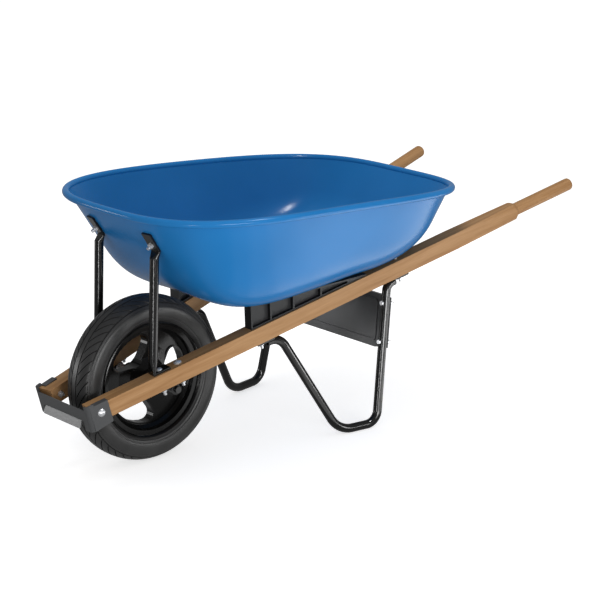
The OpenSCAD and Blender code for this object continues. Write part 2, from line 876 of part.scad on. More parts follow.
// x and z in the leg's plane (z up), y square to it and outwards; zero at the front bolt
module in_leg_plane(side) {
    from_axle() on_side(side) translate(leg_origin) rotate([leg_lean, 0, leg_yaw]) children();
}
// A point (u, v) of the leg's plane, from the axle, on the right-hand side
function leg_point(u, v) = [
    leg_origin[0] + u * cos(leg_yaw) + v * sin(leg_lean) * sin(leg_yaw),
    leg_origin[1] + u * sin(leg_yaw) - v * sin(leg_lean) * cos(leg_yaw),
    leg_origin[2] + v * cos(leg_lean)
];

along_handle = [cos(leg_rise), sin(leg_rise)];
leg_corners = [
    top_front - along_handle * (bend_front_r * 0.85 + 4),
    top_front,
    [foot_front_u, foot_v],
    [foot_rear_u, foot_v],
    top_rear,
    top_rear + along_handle * (bend_rear_r * 0.68 + 4)
];
leg_radii = [0, bend_front_r, foot_front_r, foot_rear_r, bend_rear_r, 0];

function turn_at(c, i) =
    let (a = unit(c[i] - c[i - 1]), b = unit(c[i + 1] - c[i]))
    a[0] * b[1] - a[1] * b[0] > 0 ? acos(a * b) : -acos(a * b);
function trim_at(c, r, i) = r[i] > 0 ? r[i] * tan(abs(turn_at(c, i)) / 2) : 0;

// Bends are drawn this much wider than the straights, which run into them by join
bend_swell = 0.1;

// Round rod along corners joined by bends, drawn in the XY plane
module rod(c, r, d, join) {
    for (i = [0:len(c) - 2]) {
        run = c[i + 1] - c[i];
        start = c[i] + unit(run) * (trim_at(c, r, i) - join);
        length = norm(run) - trim_at(c, r, i) - trim_at(c, r, i + 1) + 2 * join;
        translate([start[0], start[1], 0]) rotate([0, 0, atan2(run[1], run[0])])
            rotate([0, 90, 0]) cylinder(d = d, h = length);
    }
    for (i = [1:len(c) - 2]) {
        run = c[i] - c[i - 1];
        turn = turn_at(c, i);
        dir = atan2(run[1], run[0]);
        side = turn > 0 ? 1 : -1;
        centre = c[i] - unit(run) * trim_at(c, r, i) + r[i] * side * [-sin(dir), cos(dir)];
        translate([centre[0], centre[1], 0])
            rotate([0, 0, turn > 0 ? dir - 90 : dir + 90 + turn])
                rotate_extrude(angle = abs(turn)) translate([r[i], 0])
                    circle(d = d + 2 * bend_swell);
    }
}

tongue_w = 36;
tongue_end = 17;
module leg(side) {
    front_end = 30;
    rear_start = tray_bolt_rear_s - tray_bolt_front_s - 20;
    color(steel_black) difference() {
        union() {
            in_leg_plane(side) rotate([90, 0, 0]) difference() {
                rod(leg_corners, leg_radii, tube_d, 0.4);
                rod(leg_corners, leg_radii, tube_d - 2 * tube_wall, 0.8);
            }
            on_handle(side) {
                tongue(tray_bolt_front_s - tongue_end, tray_bolt_front_s + front_end);
                tongue(tray_bolt_front_s + rear_start, tray_bolt_rear_s + tongue_end);
            }
        }
        on_handle(side) for (s = [tray_bolt_front_s, tray_bolt_rear_s])
            translate([s, 0, -handle_h]) hole(bolt_d + 2 * hole_gap, 60);
        from_axle() translate([0, 0, -50]) linear_extrude(50) square(3000, center = true);
        for (k = [0, 1])
            at_panel_bolt(side, k) hole(panel_bolt_d + 2 * hole_gap, 60);
    }
}

// Pressed-flat end of the tube, against the handle's underside
module tongue(s0, s1) {
    translate([s0, -tongue_w / 2, -handle_h - gap - tongue_t])
        cube([s1 - s0, tongue_w, tongue_t]);
}

// ---- Panel between the legs --------------------------------------------------------------

// Point on the rear member's centre line, at height z above the ground
function rear_member(z) =
    let (
        v = (z - leg_origin[2]) / cos(leg_lean),
        u = foot_rear_u + (v - foot_v) * tan(rear_rake)
    )
    leg_point(u, v);
panel_low = rear_member(190);
panel_high = rear_member(320);
panel_tilt = atan2(panel_high[0] - panel_low[0], panel_high[2] - panel_low[2]);
panel_h = norm([panel_high[0] - panel_low[0], panel_high[2] - panel_low[2]]);
member_slant = atan2(panel_low[1] - panel_high[1], panel_h);
panel_t = 4;
ear_t = 3;
panel_bolt_v = [18, panel_h - 18];

// x rearwards, square to the panel; y across; z up the panel from its lower edge
module at_panel() {
    from_axle() translate([panel_low[0], 0, panel_low[2]]) rotate([0, panel_tilt, 0]) children();
}
function member_y(v) = panel_low[1] - v * tan(member_slant);
module at_panel_bolt(side, k) {
    at_panel() on_side(side) translate([0, member_y(panel_bolt_v[k]), panel_bolt_v[k]])
        rotate([0, -90, 0]) children();
}

// Outline of the panel's middle: margin is the gap to the tubes' centre lines
function panel_outline(margin, low, high, r) = [
    [member_y(low) - margin, low, r], [member_y(high) - margin, high, r],
    [-member_y(high) + margin, high, r], [-member_y(low) + margin, low, r]
];
// Draws an outline of the panel, as thick as t, with its front face at x
module panel_slab(x, t, outline) {
    translate([x, 0, 0]) rotate([90, 0, 90]) linear_extrude(t) polygon(rounded(outline));
}

module leg_panel() {
    border = 6;
    depth = 12;
    ear_x = tube_r_out + gap;
    color(steel_black) difference() {
        at_panel() {
            panel_slab(ear_x - depth, panel_t, panel_outline(tube_r_out + 2, 0, panel_h, 14));
            difference() {
                panel_slab(ear_x - depth, depth + ear_t,
                           panel_outline(tube_r_out + 2, 0, panel_h, 14));
                panel_slab(ear_x - depth - 1, depth + ear_t + 2,
                           panel_outline(tube_r_out + 2 + ear_t, ear_t, panel_h - ear_t, 11));
            }
            // raised frame round the middle
            difference() {
                panel_slab(ear_x - depth - 2, 3,
                           panel_outline(tube_r_out + 14, 13, panel_h - 13, 12));
                panel_slab(ear_x - depth - 3, 5,
                           panel_outline(tube_r_out + 14 + border, 13 + border,
                                         panel_h - 13 - border, 8));
            }
            for (side = SIDES)
                on_side(side) panel_ear(ear_x);
        }
        for (side = SIDES, k = [0, 1])
            at_panel_bolt(side, k) hole(panel_bolt_d + 2 * hole_gap, 60);
    }
}

// Strip that laps over the back of the tube
module panel_ear(ear_x) {
    reach = tube_r_out + 5;
    translate([0, panel_low[1], 0]) rotate([member_slant, 0, 0])
        translate([ear_x, -reach, 3]) cube([ear_t, reach + 6, panel_h - 6]);
}

module panel_bolts() {
    color(zinc) for (side = SIDES, k = [0, 1])
        at_panel_bolt(side, k) translate([0, 0, tube_r_out + gap])
            hex_bolt(panel_bolt_d, tube_d + ear_t + 12);
}

module panel_nuts() {
    color(zinc) for (side = SIDES, k = [0, 1])
        at_panel_bolt(side, k) translate([0, 0, -tube_r_out - 3 * gap - ear_t])
            rotate([180, 0, 0]) nut(panel_bolt_d);
}

// ---- Risers from the handles to the tray's front wall --------------------------------------

// The tube's lower end, its length and its lean towards the tray
riser_x = -49;
riser_y = 112;
riser_z = 278;
riser_l = 248;
riser_lean = 4.3;
riser_flat_w = 29;
riser_foot_s = axle_bolt_front_s - 21;
riser_foot_l = 46;
// Reach of the top tongue below and above its bolt
riser_tongue_low = 22;
riser_tongue_high = 33;
seat_gap = 0.8;

// Place of the bolt on the tray's front wall: around the plan curve, and up the wall
riser_turn = 19.2;
riser_up = 0.53;
function wall_point(a, k) = wall_foot(a) * (1 - k) + wall_top(a) * k;
riser_seat = wall_point(riser_turn, riser_up);
seat_out = unit(cross(
    wall_point(riser_turn, 1) - wall_point(riser_turn, 0),
    wall_point(riser_turn + 2, riser_up) - wall_point(riser_turn - 2, riser_up)
));
seat_yaw = atan2(seat_out[1], -seat_out[0]);
seat_tilt = acos(seat_out[2]);

// x up the wall and z square out of the tray, with the riser's bolt along z
module at_riser_seat(side) {
    from_axle() on_side(side) translate(riser_seat)
        rotate([0, 0, -seat_yaw]) rotate([0, -seat_tilt, 0]) children();
}

module riser(side) {
    foot_n = handle_h + gap;
    color(steel_black) difference() {
        union() {
            along_riser(side, 0) difference() {
                cylinder(d = tube_d, h = riser_l);
                translate([0, 0, -1]) cylinder(d = tube_d - 2 * tube_wall, h = riser_l + 2);
            }
            // pressed-flat top
            hull() {
                along_riser(side, riser_l - 1) riser_end();
                at_riser_seat(side)
                    translate([0.5 - riser_tongue_low, 0.5 - riser_flat_w / 2, seat_gap + 0.5])
                        cube([1, riser_flat_w - 1, tongue_t - 1]);
            }
            at_riser_seat(side) translate([-riser_tongue_low, -riser_flat_w / 2, seat_gap])
                cube([riser_tongue_low + riser_tongue_high, riser_flat_w, tongue_t]);
            // pressed-flat bottom
            hull() {
                along_riser(side, -0.5) riser_end();
                on_handle(side)
                    translate([riser_foot_s + 0.5, 0.5 - riser_flat_w / 2, foot_n + 1])
                        cube([riser_foot_t - 1, riser_flat_w - 1, 1]);
            }
            on_handle(side) translate([riser_foot_s, -riser_flat_w / 2, foot_n])
                cube([riser_foot_l, riser_flat_w, riser_foot_t]);
        }
        on_handle(side) translate([axle_bolt_front_s, 0, foot_n])
            hole(bolt_d + 2 * hole_gap, 4 * riser_foot_t);
        at_riser_seat(side) hole(bolt_d + 2 * hole_gap, 40);
    }
}

module along_riser(side, z) {
    from_axle() on_side(side) translate([riser_x, riser_y, riser_z])
        rotate([0, riser_lean, 0]) translate([0, 0, z]) children();
}

// Slightly wider than the tube, whose end it closes
module riser_end() {
    cylinder(d = tube_d + 0.4, h = 1.5, $fn = 32);
}

module riser_bolts() {
    color(zinc) for (side = SIDES)
        at_riser_seat(side) rotate([180, 0, 0]) translate([0, 0, sheet_t + gap])
            carriage_bolt(bolt_d, 22);
}

module riser_nuts() {
    color(zinc) for (side = SIDES)
        at_riser_seat(side) translate([0, 0, tongue_t + seat_gap + gap]) nut(bolt_d);
}

// ---- Assembly ----------------------------------------------------------------------------

tray();
handle(LEFT);  // handle_left
handle(RIGHT);  // handle_right
nose_guard();
riser(LEFT);  // riser_left
riser(RIGHT);  // riser_right
wedge(LEFT);  // wedge_left
wedge(RIGHT);  // wedge_right
leg(LEFT);  // leg_left
leg(RIGHT);  // leg_right
leg_panel();
axle_bracket(LEFT);  // axle_bracket_left
axle_bracket(RIGHT);  // axle_bracket_right
axle();
axle_spacers();
wheel_bearings();
rim();
tyre();
inner_tube();
valve_stem();
valve_cap();
nose_bolts();
nose_nuts();
axle_bolts();
axle_nuts();
axle_washers();
tray_front_bolts();
tray_rear_bolts();
bevel_washers();
leg_nuts();
riser_bolts();
riser_nuts();
panel_bolts();
panel_nuts();
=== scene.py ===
"""Contractor's wheelbarrow: materials, finer pieces, light and camera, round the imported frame."""

import json
import math

import bmesh
import bpy
from mathutils import Matrix, Vector

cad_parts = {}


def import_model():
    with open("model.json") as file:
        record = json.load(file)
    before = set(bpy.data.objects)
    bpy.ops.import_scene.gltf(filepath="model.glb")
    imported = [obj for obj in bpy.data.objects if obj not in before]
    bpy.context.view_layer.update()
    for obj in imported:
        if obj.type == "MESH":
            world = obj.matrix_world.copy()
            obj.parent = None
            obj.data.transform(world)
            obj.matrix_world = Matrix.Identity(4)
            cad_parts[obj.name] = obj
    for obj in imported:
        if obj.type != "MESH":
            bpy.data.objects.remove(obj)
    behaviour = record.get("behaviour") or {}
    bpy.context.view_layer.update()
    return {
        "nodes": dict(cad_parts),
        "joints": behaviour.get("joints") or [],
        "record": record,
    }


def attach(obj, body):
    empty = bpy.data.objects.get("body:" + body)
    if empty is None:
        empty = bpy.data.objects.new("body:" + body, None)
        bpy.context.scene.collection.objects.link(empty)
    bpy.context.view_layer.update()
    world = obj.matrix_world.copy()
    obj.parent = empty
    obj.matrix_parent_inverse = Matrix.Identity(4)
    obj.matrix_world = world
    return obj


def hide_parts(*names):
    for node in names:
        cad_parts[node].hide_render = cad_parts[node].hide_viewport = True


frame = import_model()
NODES = frame["nodes"]
RECORD = frame["record"]

# ---- Places, from the frame -------------------------------------------------------------

JOINT = frame["joints"][0]
AXLE = Vector(JOINT["pos_m"])
GRIP = next(m for m in RECORD["mounts"] if m["name"] == "grip_right")
HANDLE_DIR = Vector(GRIP["axis"])
HANDLE_PITCH = math.asin(HANDLE_DIR.z)
HANDLE_YAW = math.atan2(HANDLE_DIR.y, HANDLE_DIR.x)


# ---- Materials ----------------------------------------------------------------------------

# Noise scales, in waves per metre
PAINT_DRIFT = 4.0
ORANGE_PEEL = 420.0
WOOD_GROWTH = 60.0
WOOD_FIBRE = 420.0
SPANGLE = 260.0
MOULD_GRAIN = 900.0
MOULD_CLOUD = 12.0
# The grain's stretch along a handle, and the wood's tones from dark to light
GRAIN_STRETCH = (0.06, 1.0, 1.0)
WOOD_TONES = (
    (0.30, (0.32, 0.162, 0.062)),
    (0.52, (0.41, 0.226, 0.098)),
    (0.72, (0.47, 0.272, 0.128)),
)


class Nodes:
    """One procedural material: its principled shader, and helpers that add and link nodes."""

    def __init__(self, name):
        self.material = bpy.data.materials.new(name)
        self.material.use_nodes = True
        self.tree = self.material.node_tree
        self.shader = self.tree.nodes["Principled BSDF"]

    def add(self, kind, **settings):
        node = self.tree.nodes.new(kind)
        for key, value in settings.items():
            setattr(node, key, value)
        return node

    def link(self, source, output, target, socket):
        self.tree.links.new(source.outputs[output], target.inputs[socket])

    def set(self, **values):
        """Constants on the shader's own sockets, named with _ for a space."""
        for key, value in values.items():
            self.shader.inputs[key.replace("_", " ")].default_value = value

    def coordinates(self):
        """The object's own coordinates, in metres."""
        source = self.add("ShaderNodeTexCoord")
        mapping = self.add("ShaderNodeMapping")
        self.link(source, "Object", mapping, "Vector")
        return mapping

    def noise(self, mapping, scale, detail, roughness=0.5, distortion=0.0):
        noise = self.add("ShaderNodeTexNoise")
        noise.inputs["Scale"].default_value = scale
        noise.inputs["Detail"].default_value = detail
        noise.inputs["Roughness"].default_value = roughness
        noise.inputs["Distortion"].default_value = distortion
        self.link(mapping, "Vector", noise, "Vector")
        return noise

    def ramp(self, source, output, stops):
        """Colour ramp through stops, each a place from 0 to 1 and a colour."""
        ramp = self.add("ShaderNodeValToRGB")
        elements = ramp.color_ramp.elements
        while len(elements) < len(stops):
            elements.new(0.5)
        for element, (place, colour) in zip(elements, stops):
            element.position = place
            element.color = (*colour, 1.0)
        self.link(source, output, ramp, "Fac")
        return ramp

    def bump(self, source, output, strength, distance):
        bump = self.add("ShaderNodeBump")
        bump.inputs["Strength"].default_value = strength
        bump.inputs["Distance"].default_value = distance
        self.link(source, output, bump, "Height")
        self.link(bump, "Normal", self.shader, "Normal")


def grey(value):
    """Neutral colour, or a number fed through a colour ramp."""
    return (value, value, value)


def painted(name, dark, light, roughness, specular):
    """Sprayed gloss paint: slight colour drift and orange peel."""
    m = Nodes(name)
    place = m.coordinates()
    drift = m.noise(place, PAINT_DRIFT, 2.0)
    colour = m.ramp(drift, "Fac", [(0.35, dark), (0.65, light)])
    m.link(colour, "Color", m.shader, "Base Color")
    peel = m.noise(place, ORANGE_PEEL, 2.0)
    smooth, coarse = grey(roughness * 0.85), grey(roughness * 1.2)
    rough = m.ramp(peel, "Fac", [(0.3, smooth), (0.7, coarse)])
    m.link(rough, "Color", m.shader, "Roughness")
    m.bump(peel, "Fac", 0.25, 0.0004)
    m.set(Specular_IOR_Level=specular)
    return m.material


def timber(name, sign):
    """Planed and varnished softwood, its grain running along one handle (sign is its side)."""
    m = Nodes(name)
    place = m.coordinates()
    along = m.add("ShaderNodeMapping", vector_type="TEXTURE")
    along.inputs["Rotation"].default_value = (0.0, -HANDLE_PITCH, sign * HANDLE_YAW)
    m.link(place, "Vector", along, "Vector")
    stretch = m.add("ShaderNodeMapping")
    stretch.inputs["Scale"].default_value = GRAIN_STRETCH
    m.link(along, "Vector", stretch, "Vector")
    growth = m.noise(stretch, WOOD_GROWTH, 4.0, 0.55, 0.6)
    fibre = m.noise(stretch, WOOD_FIBRE, 3.0, 0.6)
    tone = m.ramp(growth, "Fac", WOOD_TONES)
    streak = m.ramp(fibre, "Fac", [(0.35, (0.80, 0.76, 0.72)), (0.65, (1.0, 1.0, 1.0))])
    mix = m.add("ShaderNodeMix", data_type="RGBA", blend_type="MULTIPLY")
    mix.inputs["Factor"].default_value = 0.55
    m.link(tone, "Color", mix, "A")
    m.link(streak, "Color", mix, "B")
    m.link(mix, "Result", m.shader, "Base Color")
    rough = m.ramp(fibre, "Fac", [(0.3, grey(0.42)), (0.7, grey(0.60))])
    m.link(rough, "Color", m.shader, "Roughness")
    m.bump(fibre, "Fac", 0.35, 0.0004)
    m.set(Specular_IOR_Level=0.15)
    return m.material


def plated(name):
    """Bright zinc plating with faint spangle in its colour, roughness and surface."""
    m = Nodes(name)
    place = m.coordinates()
    spangle = m.noise(place, SPANGLE, 4.0, 0.6)
    dull, bright = (0.50, 0.51, 0.53), (0.74, 0.75, 0.77)
    colour = m.ramp(spangle, "Fac", [(0.3, dull), (0.7, bright)])
    m.link(colour, "Color", m.shader, "Base Color")
    rough = m.ramp(spangle, "Fac", [(0.3, grey(0.22)), (0.7, grey(0.38))])
    m.link(rough, "Color", m.shader, "Roughness")
    m.bump(spangle, "Fac", 0.15, 0.0002)
    m.set(Metallic=0.6)
    return m.material


def moulded(name, dark, light, roughness, specular=0.3):
    """Black plastic or rubber with a fine moulded texture."""
    m = Nodes(name)
    place = m.coordinates()
    grain = m.noise(place, MOULD_GRAIN, 3.0, 0.6)
    cloud = m.noise(place, MOULD_CLOUD, 3.0)
    colour = m.ramp(cloud, "Fac", [(0.35, dark), (0.65, light)])
    m.link(colour, "Color", m.shader, "Base Color")
    smooth, coarse = grey(roughness * 0.85), grey(roughness * 1.15)
    rough = m.ramp(grain, "Fac", [(0.3, smooth), (0.7, coarse)])
    m.link(rough, "Color", m.shader, "Roughness")
    m.bump(grain, "Fac", 0.3, 0.0002)
    m.set(Specular_IOR_Level=specular)
    return m.material


# Each one's darker and lighter colour, roughness and specular level
tray_paint = painted("tray_paint", (0.012, 0.170, 0.455), (0.018, 0.195, 0.510), 0.20, 0.16)
black_paint = painted("black_paint", grey(0.004), grey(0.007), 0.14, 0.42)
rim_paint = painted("rim_paint", grey(0.003), grey(0.006), 0.18, 0.22)
guard_paint = painted("guard_paint", (0.055, 0.057, 0.059), (0.072, 0.074, 0.077), 0.34, 0.4)
tyre_rubber = moulded("tyre_rubber", grey(0.024), grey(0.036), 0.36)
plastic = moulded("black_plastic", (0.010, 0.011, 0.012), (0.016, 0.017, 0.018), 0.45)
panel_plastic = moulded("panel_plastic", (0.036, 0.038, 0.040), (0.050, 0.052, 0.055), 0.33, 0.4)
zinc = plated("zinc_plating")

MATERIALS = {
    "tray": tray_paint,
    "handle_left": timber("timber_left", -1),
    "handle_right": timber("timber_right", 1),
    "nose_guard": guard_paint,
    "tyre": tyre_rubber,
    "inner_tube": tyre_rubber,
    "valve_stem": tyre_rubber,
    "valve_cap": plastic,
    "wedge_left": plastic,
    "wedge_right": plastic,
    "leg_panel": panel_plastic,
    "rim": rim_paint,
    "riser_left": black_paint,
    "riser_right": black_paint,
    "leg_left": black_paint,
    "leg_right": black_paint,
    "axle": black_paint,
    "axle_bracket_left": black_paint,
    "axle_bracket_right": black_paint,
}
for name, node in NODES.items():
    node.data.materials.clear()
    node.data.materials.append(MATERIALS.get(name, zinc))

# ---- Finer pieces ---------------------------------------------------------------------------

MM = 0.001


def piece(name, points, faces, body, material, sharp=30.0):
    """A new mesh piece from points in metres; edges steeper than sharp degrees stay crisp."""
    mesh = bpy.data.meshes.new(name)
    mesh.from_pydata([tuple(p) for p in points], [], faces)
    mesh.validate()
    work = bmesh.new()
    work.from_mesh(mesh)
    bmesh.ops.recalc_face_normals(work, faces=work.faces)
    work.to_mesh(mesh)
    work.free()
    mesh.polygons.foreach_set("use_smooth", [True] * len(mesh.polygons))
    mesh.set_sharp_from_angle(angle=math.radians(sharp))
    mesh.materials.append(material)
    obj = bpy.data.objects.new(name, mesh)
    bpy.context.scene.collection.objects.link(obj)
    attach(obj, body)
    return obj


def ring_faces(rows, columns, close_rows):
    """Quads of a grid of rows, each row a closed ring of columns."""
    last = rows if close_rows else rows - 1
    return [
        (
            i * columns + j,
            i * columns + (j + 1) % columns,
            (i + 1) % rows * columns + (j + 1) % columns,
            (i + 1) % rows * columns + j,
        )
        for i in range(last)
        for j in range(columns)
    ]


# Tyre section on one side, from the crown to the bead: radius and half width in mm, then the
# depth of the slanted grooves there
TYRE_SECTION = [
    (203.0, 0.0, 0.0),
    (202.9, 7.0, 0.0),
    (199.0, 7.6, 0.0),
    (198.9, 10.0, 0.0),
    (202.6, 10.6, 0.0),
    (202.5, 11.6, 0.0),
    (202.3, 12.6, 3.6),
    (201.7, 17.0, 4.2),
    (200.6, 22.0, 4.4),
    (199.0, 27.0, 4.4),
    (196.8, 32.0, 4.0),
    (194.6, 35.6, 3.4),
    (191.8, 38.4, 2.2),
    (190.8, 39.2, 0.0),
    (188.5, 37.1, 0.0),
    (186.8, 38.5, 0.0),
    (188.6, 41.0, 0.0),
    (187.4, 41.9, 0.0),
    (184.6, 43.2, 0.0),
    (183.6, 42.6, 0.0),
    (182.4, 43.6, 0.0),
    (177.5, 45.3, 0.0),
    (171.0, 46.0, 0.0),
    (164.5, 45.8, 0.0),
    (158.0, 44.7, 0.0),
    (155.6, 44.0, 0.0),
    (154.8, 42.6, 0.0),
    (152.4, 42.2, 0.0),
    (151.6, 42.9, 0.0),
    (149.4, 42.1, 0.0),
    (148.6, 40.6, 0.0),
    (145.6, 38.6, 0.0),
    (143.5, 36.6, 0.0),
    (140.5, 33.6, 0.0),
    (129.3, 32.6, 0.0),
]
# The bead's inner edge and the hidden inside: radius and half width
TYRE_INSIDE = [(128.0, 21.0), (141.0, 18.0)]
TYRE_PITCHES = 46
# The slanted grooves run from beside the middle pair of grooves to the shoulder, in mm from the
# middle, and this far round the tyre
SLANT_FROM, SLANT_TO = 11.6, 39.3
SLANT_TURN = math.radians(-12.5)
# A slanted groove's first edge, the two sides of its bottom and its other edge, in degrees round
# the tyre; how far its cut leans in towards the middle; the points across the land beside it
GROOVE_STEPS = (0.0, 0.34, 1.02, 1.36)
GROOVE_LEAN = 0.25
LAND_STEPS = 4


def tyre():
    """Tyre with a V tread: each pitch has one groove, sheared along the tread."""
    pitch = 2 * math.pi / TYRE_PITCHES
    steps = [math.radians(step) for step in GROOVE_STEPS]
    land = (pitch - steps[-1]) / (LAND_STEPS + 1)
    steps += [steps[-1] + land * (i + 1) for i in range(LAND_STEPS)]
    rows = [(r, -y, d) for r, y, d in reversed(TYRE_SECTION)] + TYRE_SECTION[1:]
    rows += [(r, y, 0.0) for r, y in TYRE_INSIDE]
    rows += [(r, -y, 0.0) for r, y in reversed(TYRE_INSIDE)]
    columns = TYRE_PITCHES * len(steps)
    points = []
    for r, y, depth in rows:
        along = min(max((abs(y) - SLANT_FROM) / (SLANT_TO - SLANT_FROM), 0.0), 1.0)
        for k in range(TYRE_PITCHES):
            for i, step in enumerate(steps):
                angle = k * pitch + step + SLANT_TURN * along
                at_bottom = i in (1, 2)
                cut = depth if at_bottom else 0.0
                reach = (r - cut) * MM
                aside = (abs(y) - cut * GROOVE_LEAN) * math.copysign(MM, y)
                place = Vector((reach * math.cos(angle), aside, reach * math.sin(angle)))
                points.append(AXLE + place)
    made = piece(
        "tyre_tread", points, ring_faces(len(rows), columns, True), "wheel", tyre_rubber
    )
    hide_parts("tyre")


tyre()

# Tray, in mm, with x from the axle and z from the ground. The rim and the line where the walls
# would meet the floor: front x, rear x, front and rear half width, and the curve's power in front
# and at the rear
RIM_PLAN = (-86.0, 850.0, 354.0, 306.0, 3.05, 3.85)
CORNER_PLAN = (88.0, 752.0, 242.0, 256.0, 5.5, 4.5)
# How far the rounding between floor and wall reaches each way
FILLET_FRONT, FILLET_SIDE, FILLET_REAR = 145.0, 100.0, 45.0
# The rim's z straight above the axle, its fall per mm to the rear, and its sag at a distance
RIM_HEIGHT, RIM_FALL = 629.0, 0.042
RIM_SAG, RIM_SAG_AT = 11.2, 500.0
# The floor's z straight above the axle, its slope, and how softly it turns up along the handles
FLOOR_HEIGHT, FLOOR_SLOPE, FLOOR_BLEND = 359.5, 0.058, 2.0
# The rolled bead's radius, the sheet's thickness, and the handle: its middle line's z straight
# above the axle, and half its height
BEAD_R = 9.0
SHEET = 1.5
HANDLE_Z = 237.4
HANDLE_HALF = 41.0 / 2
# Points round the bead's section and round the tray, rings of the floor as shares of the way to
# its edge, and rings over the fillet and up the wall
BEAD_SIDES = 20
TRAY_STEPS = 160
FLOOR_RINGS = (0.1, 0.22, 0.34, 0.46, 0.58, 0.7, 0.8, 0.9)
FILLET_STEPS = 16
WALL_STEPS = 6


def plan(a, front, rear, half_front, half_rear, n_front, n_rear):
    """Point of a squared ellipse whose half width varies along x, at a degrees from the front."""
    c, s = math.cos(math.radians(a)), math.sin(math.radians(a))
    n = n_front if c > 0 else n_rear
    k = (abs(c) ** n + abs(s) ** n) ** (-1 / n)
    x = (front + rear) / 2 - (rear - front) / 2 * c * k
    half = half_front + (half_rear - half_front) * (x - front) / (rear - front)
    return x, half * s * k


def floor_z(x):
    """Height of the tray's floor: nearly level in front, along the handles' tops behind."""
    level = FLOOR_HEIGHT + FLOOR_SLOPE * x
    handle = HANDLE_Z + HANDLE_HALF / math.cos(HANDLE_PITCH)
    handle += x * math.tan(HANDLE_PITCH) / math.cos(HANDLE_YAW)
    rise = (handle + 1 - level) / FLOOR_BLEND
    return level + FLOOR_BLEND * math.log1p(math.exp(rise))


def bottom_corner(a):
    """Point where the wall would meet the floor without its rounding."""
    x, y = plan(a, *CORNER_PLAN)
    return Vector((x, y, floor_z(x)))


def rim_line(a):
    """Point on the middle line of the rolled bead."""
    x, y = plan(a, *RIM_PLAN)
    return Vector((x, y, RIM_HEIGHT - RIM_FALL * x - RIM_SAG * (x / RIM_SAG_AT) ** 2))


def wall_top(a):
    """Where the wall ends: inside the bead, towards the middle of the tray."""
    run = rim_line(a + 1) - rim_line(a - 1)
    inward = Vector((run.y, -run.x, 0)).normalized()
    return rim_line(a) + inward * (BEAD_R - SHEET - 1) - Vector((0, 0, 1))


def tray_rows():
    """Rings of the tray's outside from the floor's middle to the rim, and the middle point."""
    middle = (CORNER_PLAN[0] + CORNER_PLAN[1]) / 2
    columns = []
    for i in range(TRAY_STEPS):
        a = i * 360 / TRAY_STEPS
        ahead = math.cos(math.radians(a))
        front, rear = max(ahead, 0) ** 2, max(-ahead, 0) ** 2
        fillet = front * FILLET_FRONT + rear * FILLET_REAR + (1 - front - rear) * FILLET_SIDE
        corner, top = bottom_corner(a), wall_top(a)
        rise = top - corner
        edge = corner - Vector((rise.x, rise.y, 0)).normalized() * fillet
        edge.z = floor_z(edge.x)
        foot = corner + rise.normalized() * fillet
        column = []
        for k in FLOOR_RINGS:
            x = middle + (edge.x - middle) * k
            column.append(Vector((x, edge.y * k, floor_z(x))))
        for j in range(FILLET_STEPS + 1):
            t = j / FILLET_STEPS
            column.append(edge * (1 - t) ** 2 + corner * (2 * t * (1 - t)) + foot * t**2)
        for j in range(1, WALL_STEPS + 1):
            column.append(foot.lerp(top, j / WALL_STEPS))
        columns.append(column)
    rows = [list(row) for row in zip(*columns)]
    return rows, Vector((middle, 0, floor_z(middle)))


def tray():
    """Pressed sheet tub of even thickness with a rolled bead round its rim."""
    n = TRAY_STEPS
    outside, pole = tray_rows()
    inside = []
    for i, row in enumerate(outside):
        above, below = outside[min(i + 1, len(outside) - 1)], outside[max(i - 1, 0)]
        runs = [row[(j + 1) % n] - row[j - 1] for j in range(n)]
        normals = [runs[j].cross(above[j] - below[j]).normalized() for j in range(n)]
        inside.append([row[j] + normals[j] * SHEET for j in range(n)])
    rows = outside + inside[::-1]
    points = [pole] + [p for row in rows for p in row] + [pole + Vector((0, 0, SHEET))]
    end = len(points) - 1
    faces = [tuple(v + 1 for v in face) for face in ring_faces(len(rows), n, False)]
    faces += [(0, 1 + (j + 1) % n, 1 + j) for j in range(n)]
    faces += [(end, end - n + j, end - n + (j + 1) % n) for j in range(n)]
    start = len(points)
    rim = [rim_line(j * 360 / n) for j in range(n)]
    for j in range(n):
        run = (rim[(j + 1) % n] - rim[j - 1]).normalized()
        out = run.cross(Vector((0, 0, 1))).normalized()
        up = out.cross(run)
        for k in range(BEAD_SIDES):
            w = 2 * math.pi * k / BEAD_SIDES
            points.append(rim[j] + (out * math.cos(w) + up * math.sin(w)) * BEAD_R)
    faces += [tuple(v + start for v in face) for face in ring_faces(n, BEAD_SIDES, True)]
    shift = Vector((AXLE.x, 0, 0))
    points = [p * MM + shift for p in points]
    made = piece("tray_tub", points, faces, "frame", tray_paint, 50.0)
    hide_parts("tray")


tray()

# ---- Floor, light and camera -----------------------------------------------------------------

# Half the floor's side, how far it lies under the ground line, and how brightly it glows
FLOOR_HALF = 30.0
FLOOR_DROP = 0.0005
FLOOR_GLOW = 0.62


def floor():
    """Plain pale floor, a hair under the tyre and the feet."""
    mesh = bpy.data.meshes.new("floor")
    half = FLOOR_HALF
    corners = [(-half, -half, 0), (half, -half, 0), (half, half, 0), (-half, half, 0)]
    mesh.from_pydata(corners, [], [(0, 1, 2, 3)])
    plane = bpy.data.objects.new("floor", mesh)
    bpy.context.scene.collection.objects.link(plane)
    m = Nodes("floor_white")
    m.set(Base_Color=(0.9, 0.9, 0.9, 1.0), Roughness=0.9)
    m.set(Emission_Color=(1.0, 1.0, 1.0, 1.0), Emission_Strength=FLOOR_GLOW)
    mesh.materials.append(m.material)
    plane.location.z = -FLOOR_DROP
    # The floor gives no fill light and no mirror image, so the tray's front stays dark
    plane.visible_diffuse = False
    plane.visible_glossy = False


